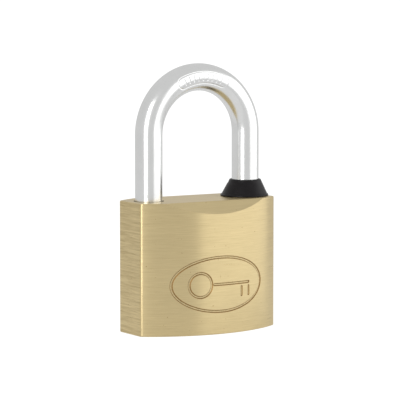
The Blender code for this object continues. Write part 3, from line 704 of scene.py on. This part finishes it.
def groove(path, depth, closed_loop=False):
    """An engraved line with sloping walls and a flat floor along (x, z) points of the front face."""
    slope = (GROOVE_HALF_TOP - GROOVE_HALF_FLOOR) / depth
    above = 0.15 * MM
    path = [Vector(point) for point in path]
    count = len(path)
    stations = []
    for i, point in enumerate(path):
        before = path[i - 1] if i or closed_loop else path[0]
        after = path[(i + 1) % count] if i < count - 1 or closed_loop else path[-1]
        stations.append((point, (after - before).normalized(), 1.0, 0.0))
    if not closed_loop:
        head, ahead, _, _ = stations[0]
        tail, behind, _, _ = stations[-1]
        angles = [radians(a) for a in (84, 66, 44, 22)]
        heads = [(head, ahead, cos(a), -sin(a)) for a in angles]
        tails = [(tail, behind, cos(a), sin(a)) for a in reversed(angles)]
        stations = heads + stations + tails
    rings = []
    for point, ahead, share, shift in stations:
        across = Vector((-ahead.y, ahead.x))
        ring = []
        for half, lift in (
            (GROOVE_HALF_FLOOR, -depth),
            (-GROOVE_HALF_FLOOR, -depth),
            (-GROOVE_HALF_TOP - slope * above, above),
            (-GROOVE_HALF_TOP - slope * above, above + CUT_MARGIN),
            (GROOVE_HALF_TOP + slope * above, above + CUT_MARGIN),
            (GROOVE_HALF_TOP + slope * above, above),
        ):
            at = point + across * half * share + ahead * abs(half) * shift
            ring.append((at.x, -face_depth(at.x) - lift, at.y))
        rings.append(ring)
    shape = joined_rings(rings, closed_loop)
    caps = 0 if closed_loop else 2
    # Floors take slot 0 and walls slot 1; on the sign the walls' slot carries the painted shade of the
    # grooves.
    for i, face in enumerate(shape.faces):
        on_floor = i >= caps and (i - caps) % len(rings[0]) == 0
        face.material_index = 0 if on_floor else 1
    return shape


def ellipse(width, height, centre, steps):
    angles = [2 * pi * i / steps for i in range(steps)]
    return [(centre[0] + width / 2 * cos(a), centre[1] + height / 2 * sin(a)) for a in angles]


def straight(start, end, steps):
    start = Vector(start)
    end = Vector(end)
    return [start.lerp(end, i / steps) for i in range(steps + 1)]


def sign_grooves(engraving):
    """The oval, and in it a plain sign of a key: a round bow, a shank and two teeth."""
    depth = engraving.groove_depth
    oval = ellipse(engraving.oval_width, engraving.oval_height, (0, SIGN_HEIGHT), 180)
    yield groove(oval, depth, closed_loop=True)
    bow_x = -(KEY_LENGTH - KEY_BOW) / 2
    yield groove(ellipse(KEY_BOW, KEY_BOW, (bow_x, SIGN_HEIGHT), 72), depth, closed_loop=True)
    shank_start = bow_x + KEY_BOW / 2 + 0.9 * MM
    shank_end = KEY_LENGTH / 2
    yield groove(straight((shank_start, SIGN_HEIGHT), (shank_end, SIGN_HEIGHT), 40), depth)
    for x in (shank_end, shank_end - KEY_TOOTH_SPACING):
        top = SIGN_HEIGHT - KEY_TOOTH_GAP
        yield groove(straight((x, top), (x, top - KEY_TOOTH), 4), depth)


def chamfered_hole(radius, x, floor, top, sides=HOLE_SIDES):
    """A hole drilled down from the top face, with its mouth broken."""
    over = top + CUT_MARGIN
    mouth = radius + HOLE_CHAMFER
    profile = [(radius, floor), (radius, top - HOLE_CHAMFER), (mouth, top), (mouth, over)]
    return turned(profile, sides, (x, 0))


class PADLOCK_OT_body(Operator):
    """Builds the brushed brass body with its drillings, crescent bevels and engraving"""

    bl_idname = "padlock.body"
    bl_label = "Body"

    def execute(self, context):
        settings = context.scene.padlock
        look = settings.finish
        face = brushed_brass("brass brushed face", look, (190.0, 190.0, 7500.0), "Z", 0.09)
        side = brushed_brass("brass sawn side", look, (110.0, 110.0, 3000.0), "Z", 0.24, waves=0.5)
        top = brushed_brass("brass brushed top", look, (80.0, 4200.0, 80.0), "Y", 0.12)
        bottom = brushed_brass("brass brushed bottom", look, (80.0, 4200.0, 80.5), "Y", 0.12)
        bevel = brushed_brass("brass milled bevel", look, (90.0, 4200.0, 4200.0), "Y", 0.06)
        drilled = cut_brass("brass drilled", look, tone(look.brass, 0.8), 0.36)
        # The walls of the leg holes are the brass darkened to a quarter: painted shade in the gap round each
        # leg.
        shaded_hole_wall = cut_brass("brass drilled with painted shade", look, tone(look.brass, 0.25), 0.40)
        bored = cut_brass("brass bored", look, tone(look.brass, 0.8), 0.34, centre=(0, 0))
        engraved = cut_brass("brass engraved floor", look, tone(look.brass, 0.92), 0.36)
        # The groove walls take the dark engraving colour: painted shade inside the engraved lines. The floors
        # stay close to the brass.
        shaded_groove_wall = cut_brass("brass engraved wall with painted shade", look, look.engraving, 0.45)
        body = add_piece("body_skin", body_blank(), [face, side, top, bottom])
        cutters = [cut(body, crescent(side_sign), bevel, "bevel") for side_sign in (-1, 1)]
        toe_hole = chamfered_hole(LEG_HOLE_RADIUS, -LEG_X, TOE_FLOOR, BODY_HEIGHT)
        cutters.append(cut(body, toe_hole, shaded_hole_wall, "toe_hole"))
        heel_wall = [(LEG_HOLE_RADIUS, HEEL_FLOOR), (LEG_HOLE_RADIUS, BODY_HEIGHT)]
        heel_hole = turned(heel_wall, HOLE_SIDES, (LEG_X, 0))
        cutters.append(cut(body, heel_hole, shaded_hole_wall, "heel_hole"))
        seat_wall = [(SEAT_RADIUS, BODY_HEIGHT - SEAT_DEPTH), (SEAT_RADIUS, BODY_HEIGHT + CUT_MARGIN)]
        seat = turned(seat_wall, HOLE_SIDES, (LEG_X, 0))
        cutters.append(cut(body, seat, drilled, "boot_seat"))
        bore_radius = PLUG_RADIUS + RUNNING_FIT
        mouth = bore_radius + HOLE_CHAMFER
        bore_wall = [(mouth, -CUT_MARGIN), (mouth, 0)]
        bore_wall += [(bore_radius, HOLE_CHAMFER), (bore_radius, PLUG_BORE_TOP)]
        bore = turned(bore_wall, HOLE_SIDES)
        cutters.append(cut(body, bore, bored, "plug_bore"))
        reach = HALF_WIDTH + CUT_MARGIN
        bolt_bore = rod(BOLT_RADIUS + RUNNING_FIT, (-LEG_X, 0, BOLT_Z), (reach, 0, BOLT_Z), PIN_SIDES)
        cutters.append(cut(body, bolt_bore, drilled, "bolt_bore"))
        inner = -bore_radius + CUT_MARGIN
        chambers = [rod(CHAMBER_RADIUS, (-reach, 0, z), (inner, 0, z), PIN_SIDES) for z in PIN_HEIGHTS]
        cutters.append(cut(body, merged(chambers), drilled, "chambers"))
        cross = []
        for low, high in ((STOP_LOW, STOP_HIGH), (KEEPER_LOW, KEEPER_HIGH)):
            x = (low.x + high.x) / 2
            z = (low.z + high.z) / 2
            radius = (high.z - low.z) / 2 + PRESS_GAP
            cross.append(rod(radius, (x, low.y, z), (x, HALF_DEPTH + CUT_MARGIN, z), PIN_SIDES))
        cutters.append(cut(body, merged(cross), drilled, "cross_holes"))
        for shape in sign_grooves(settings.engraving):
            cutters.append(cut(body, shape, engraved, "groove", walls=shaded_groove_wall))
        settle(body, cutters)
        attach(body, "case")
        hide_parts("lock_body")
        return {"FINISHED"}


# ---------------------------------------------------------------- shackle


def arch_point(angle, radius, lift=0.0):
    """A point on the front of the arch, at a distance radius from its centre in the plane of the shackle."""
    off = radius - LEG_X
    middle = Vector((LEG_X * cos(angle), 0, ARCH_CENTRE + LEG_X * sin(angle)))
    out = Vector((cos(angle), 0, sin(angle)))
    normal = (out * off - Vector((0, sqrt(BAR_RADIUS**2 - off**2), 0))).normalized()
    return middle + normal * (BAR_RADIUS + lift), normal


def stamp_marks(depth):
    """A long ring that follows the arch, and a row of plain upright bars in it."""
    lift = STAMP_TUBE - depth
    first = STAMP_MIDDLE - STAMP_REACH
    last = STAMP_MIDDLE + STAMP_REACH
    band = STAMP_HALF_BAND
    path = []
    for i in range(49):
        path.append((first + (last - first) * i / 48, LEG_X + band))
    for i in range(1, 12):
        a = pi * i / 12
        path.append((last + band * sin(a) / LEG_X, LEG_X + band * cos(a)))
    for i in range(49):
        path.append((last - (last - first) * i / 48, LEG_X - band))
    for i in range(1, 12):
        a = pi * i / 12
        path.append((first - band * sin(a) / LEG_X, LEG_X - band * cos(a)))
    both = [arch_point(angle, radius, lift) for angle, radius in path]
    yield tube_along([p for p, _ in both], [n for _, n in both], STAMP_TUBE, 14, closed_loop=True)
    for k in range(STAMP_BARS):
        angle = first + (last - first) * (k + 0.5) / STAMP_BARS
        both = [arch_point(angle, LEG_X + band * 0.5 * s / 3, lift) for s in range(-3, 4)]
        yield tube_along([p for p, _ in both], [n for _, n in both], STAMP_TUBE, 14)


def shackle_stations():
    """(centre, way along, radius) from the toe leg's tip over the arch to the heel leg's tip."""
    up = Vector((0, 0, 1))
    stations = []
    for z, radius in ((TOE_TIP, BAR_RADIUS - TIP_CHAMFER), (TOE_TIP + TIP_CHAMFER, BAR_RADIUS)):
        stations.append((Vector((-LEG_X, 0, z)), up, radius))
    leg_steps = 14
    leg_low = TOE_TIP + TIP_CHAMFER
    for i in range(1, leg_steps):
        z = leg_low + (ARCH_CENTRE - leg_low) * i / leg_steps
        stations.append((Vector((-LEG_X, 0, z)), up, BAR_RADIUS))
    for i in range(ARCH_STEPS + 1):
        angle = pi - pi * i / ARCH_STEPS
        out = Vector((cos(angle), 0, sin(angle)))
        way = Vector((sin(angle), 0, -cos(angle)))
        stations.append((Vector((0, 0, ARCH_CENTRE)) + out * LEG_X, way, BAR_RADIUS))
    heel_low = WAIST_TOP + WAIST_SHOULDER
    for i in range(1, leg_steps):
        z = ARCH_CENTRE + (heel_low - ARCH_CENTRE) * i / leg_steps
        stations.append((Vector((LEG_X, 0, z)), -up, BAR_RADIUS))
    heel = [
        (heel_low, BAR_RADIUS),
        (WAIST_TOP, WAIST_RADIUS),
        (WAIST_BOTTOM, WAIST_RADIUS),
        (WAIST_BOTTOM, BAR_RADIUS),
        (HEEL_TIP + TIP_CHAMFER, BAR_RADIUS),
        (HEEL_TIP, BAR_RADIUS - TIP_CHAMFER),
    ]
    stations += [(Vector((LEG_X, 0, z)), -up, radius) for z, radius in heel]
    return stations


def notch(side):
    near = side * (LEG_X - BAR_RADIUS - CUT_MARGIN)
    far = side * (LEG_X - BAR_RADIUS + NOTCH_DEPTH)
    low, high = sorted((near, far))
    across = 2 * BAR_RADIUS
    outline = [(low, -across), (high, -across), (high, across), (low, across)]
    return prism(outline, BOLT_Z - NOTCH_HALF_HEIGHT, BOLT_Z + NOTCH_HALF_HEIGHT)


class PADLOCK_OT_shackle(Operator):
    """Builds the chrome-plated shackle with its notches and the stamped row on its arch"""

    bl_idname = "padlock.shackle"
    bl_label = "Shackle"

    def execute(self, context):
        settings = context.scene.padlock
        look = settings.finish
        chrome = chrome_plate(look)
        ground = drawn_metal("steel ground notch", look.steel, 0.3, (900.0, 5200.0, 900.0))
        rings = []
        for centre, way, radius in shackle_stations():
            side = way.cross(Vector((0, 1, 0)))
            turns = [2 * pi * i / BAR_SIDES for i in range(BAR_SIDES)]
            rings.append([centre + (side * cos(a) + Vector((0, 1, 0)) * sin(a)) * radius for a in turns])
        bar = add_piece("shackle_bar_plated", joined_rings(rings), [chrome])
        cutters = [cut(bar, notch(side), ground, "notch") for side in (-1, 1)]
        pocket_mouth = (LEG_X, 0, HEEL_TIP - CUT_MARGIN)
        pocket = rod(HEEL_POCKET_RADIUS, pocket_mouth, (LEG_X, 0, HEEL_POCKET_TOP), PIN_SIDES)
        cutters.append(cut(bar, pocket, ground, "pocket"))
        for shape in stamp_marks(settings.engraving.stamp_depth):
            cutters.append(cut(bar, shape, chrome, "stamp"))
        settle(bar, cutters, sharp=35)
        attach(bar, "shackle_bar")
        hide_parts("shackle")
        return {"FINISHED"}


# ---------------------------------------------------------------- boot, plug, fillers, springs, mechanism


class PADLOCK_OT_boot(Operator):
    """Builds the moulded rubber boot round the heel leg"""

    bl_idname = "padlock.boot"
    bl_label = "Boot"

    def execute(self, context):
        rubber = moulded_rubber(context.scene.padlock.finish)
        inner = BAR_RADIUS + 0.08 * MM
        spigot = LEG_HOLE_RADIUS + 0.95 * MM
        base = BOOT_HIGH.x - LEG_X
        top = inner + 0.72 * MM
        z = BODY_HEIGHT + SEAT_GAP
        crown = BOOT_HIGH.z
        lip = 0.6 * MM
        profile = [(inner, BOOT_LOW.z), (spigot, BOOT_LOW.z), (spigot, z)]
        for a in (0, 30, 60, 90):
            profile.append((base - 0.2 * MM * (1 - sin(radians(a))), z + 0.2 * MM * (1 - cos(radians(a)))))
        profile.append((base - 0.04 * MM, z + lip - 0.1 * MM))
        profile += [(base - 0.14 * MM, z + lip), (base - 0.3 * MM, z + lip)]
        cone_low = Vector((base - 0.34 * MM, z + lip + 0.05 * MM))
        cone_high = Vector((top + 0.06 * MM, crown - 0.42 * MM))
        for i in range(13):
            point = cone_low.lerp(cone_high, i / 12)
            profile.append((point.x, point.y))
        rounding = 0.28 * MM
        for a in (20, 40, 60, 80):
            profile.append((top - rounding * (1 - cos(radians(a))), crown - rounding * (1 - sin(radians(a)))))
        rim_inner = top - 0.5 * MM
        profile += [
            (top - rounding - 0.06 * MM, crown),
            (rim_inner + 0.05 * MM, crown - 0.04 * MM),
            (rim_inner, crown - 0.12 * MM),
            (rim_inner, crown - 0.66 * MM),
            (inner + 0.04 * MM, crown - 0.7 * MM),
            (inner, crown - 0.76 * MM),
        ]
        rings = []
        for radius, height in profile:
            share = max(0.0, min(1.0, (crown - height) / (crown - z))) if radius > spigot else 0.0
            lean = BOOT_LEAN * share
            rings.append(circle(radius + lean, height, 144, (LEG_X - lean, 0)))
        boot = add_piece("heel_boot_moulded", joined_rings(rings, closed_loop=True), [rubber])
        settle(boot, sharp=40)
        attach(boot, "case")
        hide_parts("heel_boot")
        return {"FINISHED"}


def keyway_outline(grow=0.0):
    """A stepped slot whose blade lies along X, between the pins and the middle of the plug."""
    half = KEYWAY_HALF_WIDTH
    ward = KEYWAY_WARD
    far = KEYWAY_REACH + grow
    return [
        (-far, -half - grow),
        (-grow, -half - grow),
        (-grow, -half - ward - grow),
        (far, -half - ward - grow),
        (far, half - ward + grow),
        (ward + grow, half - ward + grow),
        (ward + grow, half + grow),
        (-far, half + grow),
    ]


class PADLOCK_OT_plug(Operator):
    """Builds the turned brass plug with its keyway, as it stands with the key turned"""

    bl_idname = "padlock.plug"
    bl_label = "Plug"

    def execute(self, context):
        look = context.scene.padlock.finish
        turned_face = cut_brass("brass turned plug", look, tone(look.brass, 0.92), 0.30, centre=(0, 0))
        milled = cut_brass("brass broached", look, tone(look.brass, 0.6), 0.40)
        low = PLUG_LOW.z
        high = PLUG_HIGH.z
        groove_radius = PLUG_RADIUS - KEEPER_GROOVE_DEPTH
        profile = [
            (PLUG_RADIUS - 2.0 * MM, low + 0.02 * MM),
            (PLUG_RADIUS - 0.45 * MM, low),
            (PLUG_RADIUS - 0.15 * MM, low + 0.07 * MM),
            (PLUG_RADIUS, low + 0.3 * MM),
            (PLUG_RADIUS, KEEPER_GROOVE_LOW),
            (groove_radius, KEEPER_GROOVE_LOW),
            (groove_radius, KEEPER_GROOVE_HIGH),
            (PLUG_RADIUS, KEEPER_GROOVE_HIGH),
            (PLUG_RADIUS, high),
        ]
        plug = add_piece("plug_turned", turned(profile, 128), [turned_face])
        keyway_top = PIN_HEIGHTS[-1] + KEYWAY_OVERRUN
        cutters = [cut(plug, prism(keyway_outline(), low - CUT_MARGIN, keyway_top), milled, "keyway")]
        mouth = joined_rings(
            [
                [(x, y, low + 0.2 * MM) for x, y in keyway_outline()],
                [(x, y, low - 0.1 * MM) for x, y in keyway_outline(0.22 * MM)],
            ]
        )
        cutters.append(cut(plug, mouth, milled, "keyway_mouth"))
        reach, half = TANG_REACH, TANG_HALF_WIDTH
        tang = [(-reach, -half), (reach, -half), (reach, half), (-reach, half)]
        cutters.append(cut(plug, prism(tang, high - TANG_DEPTH, high + CUT_MARGIN), milled, "tang_slot"))
        chambers = []
        for i, z in enumerate(PIN_HEIGHTS):
            end = (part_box(f"key_pin_{i + 1}")[1].y + SEAT_GAP, 0, z)
            chambers.append(rod(CHAMBER_RADIUS, (-PLUG_RADIUS - CUT_MARGIN, 0, z), end, PIN_SIDES))
        cutters.append(cut(plug, merged(chambers), milled, "chambers"))
        settle(plug, cutters)
        plug.data.transform(Matrix.Rotation(pi / 2, 4, "Z"))
        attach(plug, "plug_unit")
        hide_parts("plug")
        return {"FINISHED"}


def along_box(node):
    """The two ends, on the middle line, and the radius of a round CAD node that lies along X."""
    low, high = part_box(node)
    z = (low.z + high.z) / 2
    return (low.x, 0, z), (high.x, 0, z), (high.z - low.z) / 2


class PADLOCK_OT_fillers(Operator):
    """Builds the flush fillers that close the drillings, brushed over with the faces they end in"""

    bl_idname = "padlock.fillers"
    bl_label = "Fillers and cross pins"

    def execute(self, context):
        look = context.scene.padlock.finish
        side = bpy.data.materials["brass sawn side"]
        pressed = drawn_metal("brass filler rod", tone(look.brass, 0.85), 0.34, (3000.0, 3000.0, 3000.0))
        names = [f"chamber_filler_{i}" for i in PIN_NUMBERS] + ["bolt_bore_filler"]
        for name in names:
            start, end, radius = along_box(name)
            shape = rod(radius, start, end, PIN_SIDES)
            bmesh.ops.recalc_face_normals(shape, faces=shape.faces)
            for face in shape.faces:
                face.material_index = 0 if abs(face.normal.x) > 0.9 else 1
            piece = add_piece(f"{name}_flush", shape, [side, pressed])
            settle(piece)
            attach(piece, "case")
            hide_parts(name)
        return {"FINISHED"}


class PADLOCK_OT_springs(Operator):
    """Winds the springs: the heel spring, the bolt spring in two halves, and the pin springs, which go with
    the case
    """

    bl_idname = "padlock.springs"
    bl_label = "Springs"

    def execute(self, context):
        look = context.scene.padlock.finish
        wire = drawn_metal("spring wire", look.wire, 0.24, 5200.0, 0.06)
        radius = (HEEL_COIL_HIGH.y - HEEL_COIL_LOW.y) / 2
        start = (LEG_X, 0, HEEL_COIL_LOW.z)
        end = (LEG_X, 0, HEEL_COIL_HIGH.z)
        shape = coil(radius, HEEL_SPRING_WIRE, start, end, HEEL_SPRING_PITCH)
        heel = add_piece("heel_spring_wound", shape, [wire])
        settle(heel, sharp=50)
        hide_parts("heel_spring")
        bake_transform(heel)
        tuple(start)
        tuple(end)
        reach = BOLT_COIL_HIGH.x
        radius = (BOLT_COIL_HIGH.z - BOLT_COIL_LOW.z) / 2
        for side, body in ((-1, "toe_bolt_unit"), (1, "heel_bolt_unit")):
            start = (0, 0, BOLT_Z)
            end = (side * reach, 0, BOLT_Z)
            shape = coil(radius, BOLT_SPRING_WIRE, start, end, BOLT_SPRING_PITCH)
            half = add_piece(f"{body}_spring", shape, [wire])
            settle(half, sharp=50)
            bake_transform(half)
            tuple(start)
            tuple(end)
        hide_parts("bolt_spring")
        for i in PIN_NUMBERS:
            start, end, radius = along_box(f"pin_spring_{i}")
            shape = coil(radius, PIN_SPRING_WIRE, start, end, PIN_SPRING_PITCH)
            spring = add_piece(f"pin_spring_{i}_wound", shape, [wire])
            settle(spring, sharp=50)
            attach(spring, "case")
            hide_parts(f"pin_spring_{i}")
        return {"FINISHED"}


def refinish(node, finish):
    """Gives a CAD node that keeps its shape a better finish."""
    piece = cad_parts[node]
    piece.data.materials.clear()
    piece.data.materials.append(finish)


class PADLOCK_OT_mechanism(Operator):
    """Finishes the cam, bolts, cross pins, key pins and driver pins"""

    bl_idname = "padlock.mechanism"
    bl_label = "Cam, bolts and pins"

    def execute(self, context):
        look = context.scene.padlock.finish
        ground = drawn_metal("steel ground", look.steel, 0.28, (5200.0, 600.0, 5200.0))
        even_grain = (1800.0, 1800.0, 1800.0)
        stamped = drawn_metal("steel stamped cam", tone(look.steel, 0.9), 0.34, even_grain, 0.14)
        key_pin = drawn_metal("brass turned pin", look.pin, 0.24, (700.0, 6000.0, 700.0))
        driver = drawn_metal("steel turned pin", tone(look.steel, 1.1), 0.22, (6000.0, 700.0, 700.0))
        for node in ("toe_bolt", "heel_bolt"):
            refinish(node, ground)
        for node in ("heel_stop_pin", "plug_retaining_pin"):
            refinish(node, ground)
        refinish("bolt_cam", stamped)
        for i in PIN_NUMBERS:
            refinish(f"key_pin_{i}", key_pin)
            refinish(f"driver_pin_{i}", driver)
        return {"FINISHED"}


# ---------------------------------------------------------------- stage


def soft_box(name, azimuth, elevation, distance, width, height, power, colour):
    """A rectangular light that faces the lock, at an azimuth to the right of the front."""
    light = bpy.data.lights.new(name, "AREA")
    light.shape = "RECTANGLE"
    light.size = width
    light.size_y = height
    light.energy = power
    light.color = colour
    lamp = bpy.data.objects.new(name, light)
    bpy.context.scene.collection.objects.link(lamp)
    a = radians(azimuth)
    e = radians(elevation)
    way = Vector((sin(a) * cos(e), -cos(a) * cos(e), sin(e)))
    lamp.location = Vector((0, 0, 0.04)) + way * distance
    lamp.rotation_euler = way.to_track_quat("Z", "Y").to_euler()
    return lamp


def light_tent(brightness):
    """A soft tent of one even brightness all round, with plain white behind the lock."""
    world = bpy.data.worlds.new("light tent")
    bpy.context.scene.world = world
    world.use_nodes = True
    tree = world.node_tree
    tent = tree.nodes["Background"]
    tent.inputs["Color"].default_value = (1, 1, 1, 1)
    tent.inputs["Strength"].default_value = brightness
    backdrop = tree.nodes.new("ShaderNodeBackground")
    backdrop.inputs["Color"].default_value = (1, 1, 1, 1)
    backdrop.inputs["Strength"].default_value = 1.1
    seen = tree.nodes.new("ShaderNodeLightPath")
    choice = tree.nodes.new("ShaderNodeMixShader")
    tree.links.new(seen.outputs["Is Camera Ray"], choice.inputs["Fac"])
    tree.links.new(tent.outputs["Background"], choice.inputs[1])
    tree.links.new(backdrop.outputs["Background"], choice.inputs[2])
    tree.links.new(choice.outputs["Shader"], tree.nodes["World Output"].inputs["Surface"])


class PADLOCK_OT_stage(Operator):
    """Sets the paper, the lights and the camera"""

    bl_idname = "padlock.stage"
    bl_label = "Stage"

    def execute(self, context):
        studio = context.scene.padlock.studio
        shape = bmesh.new()
        bmesh.ops.create_circle(shape, cap_ends=True, radius=FLOOR_RADIUS, segments=64)
        floor = add_piece("studio_floor", shape, [studio_paper(studio.paper, studio.glow)])
        floor.location.z = -FLOOR_GAP
        light_tent(studio.tent)
        soft_box("key_soft_box", *KEY_PLACE, BOX_DISTANCE, *KEY_SIZE, studio.key, (1.0, 1.0, 1.0))
        soft_box("strip_soft_box", *STRIP_PLACE, BOX_DISTANCE, *STRIP_SIZE, studio.strip, (1.0, 1.0, 1.0))
        camera = bpy.data.cameras.new("camera")
        camera.sensor_width = 36
        camera.lens = studio.lens
        camera.clip_start = 0.01
        camera.clip_end = 10
        holder = bpy.data.objects.new("camera", camera)
        context.scene.collection.objects.link(holder)
        a = studio.azimuth
        e = studio.elevation
        back = Vector((-sin(a) * cos(e), -cos(a) * cos(e), sin(e)))
        holder.location = Vector((0.7 * MM, -0.4 * MM, 41.4 * MM)) + back * studio.distance
        holder.rotation_euler = back.to_track_quat("Z", "Y").to_euler()
        context.scene.camera = holder
        context.scene.view_settings.view_transform = "Standard"
        return {"FINISHED"}


class PADLOCK_PT_panel(Panel):
    """Lists the makers of the pieces and their settings"""

    bl_idname = "PADLOCK_PT_panel"
    bl_label = "Padlock"
    bl_space_type = "VIEW_3D"
    bl_region_type = "UI"
    bl_category = "Padlock"

    def draw(self, context):
        layout = self.layout
        for maker in MAKERS:
            layout.operator(maker.bl_idname)
        settings = context.scene.padlock
        for group in (settings.finish, settings.engraving, settings.studio):
            box = layout.box()
            for name in group.__annotations__:
                box.prop(group, name)


MAKERS = (
    PADLOCK_OT_body,
    PADLOCK_OT_shackle,
    PADLOCK_OT_boot,
    PADLOCK_OT_plug,
    PADLOCK_OT_fillers,
    PADLOCK_OT_springs,
    PADLOCK_OT_mechanism,
    PADLOCK_OT_stage,
)
CLASSES = (FinishSettings, EngravingSettings, StudioSettings, PadlockSettings, *MAKERS, PADLOCK_PT_panel)


def register():
    for made in CLASSES:
        bpy.utils.register_class(made)
    bpy.types.Scene.padlock = PointerProperty(type=PadlockSettings)


def unregister():
    del bpy.types.Scene.padlock
    for made in reversed(CLASSES):
        bpy.utils.unregister_class(made)


def main():
    register()
    bpy.ops.padlock.body()
    bpy.ops.padlock.shackle()
    bpy.ops.padlock.boot()
    bpy.ops.padlock.plug()
    bpy.ops.padlock.fillers()
    bpy.ops.padlock.springs()
    bpy.ops.padlock.mechanism()
    bpy.ops.padlock.stage()


if __name__ == "__main__":
    main()
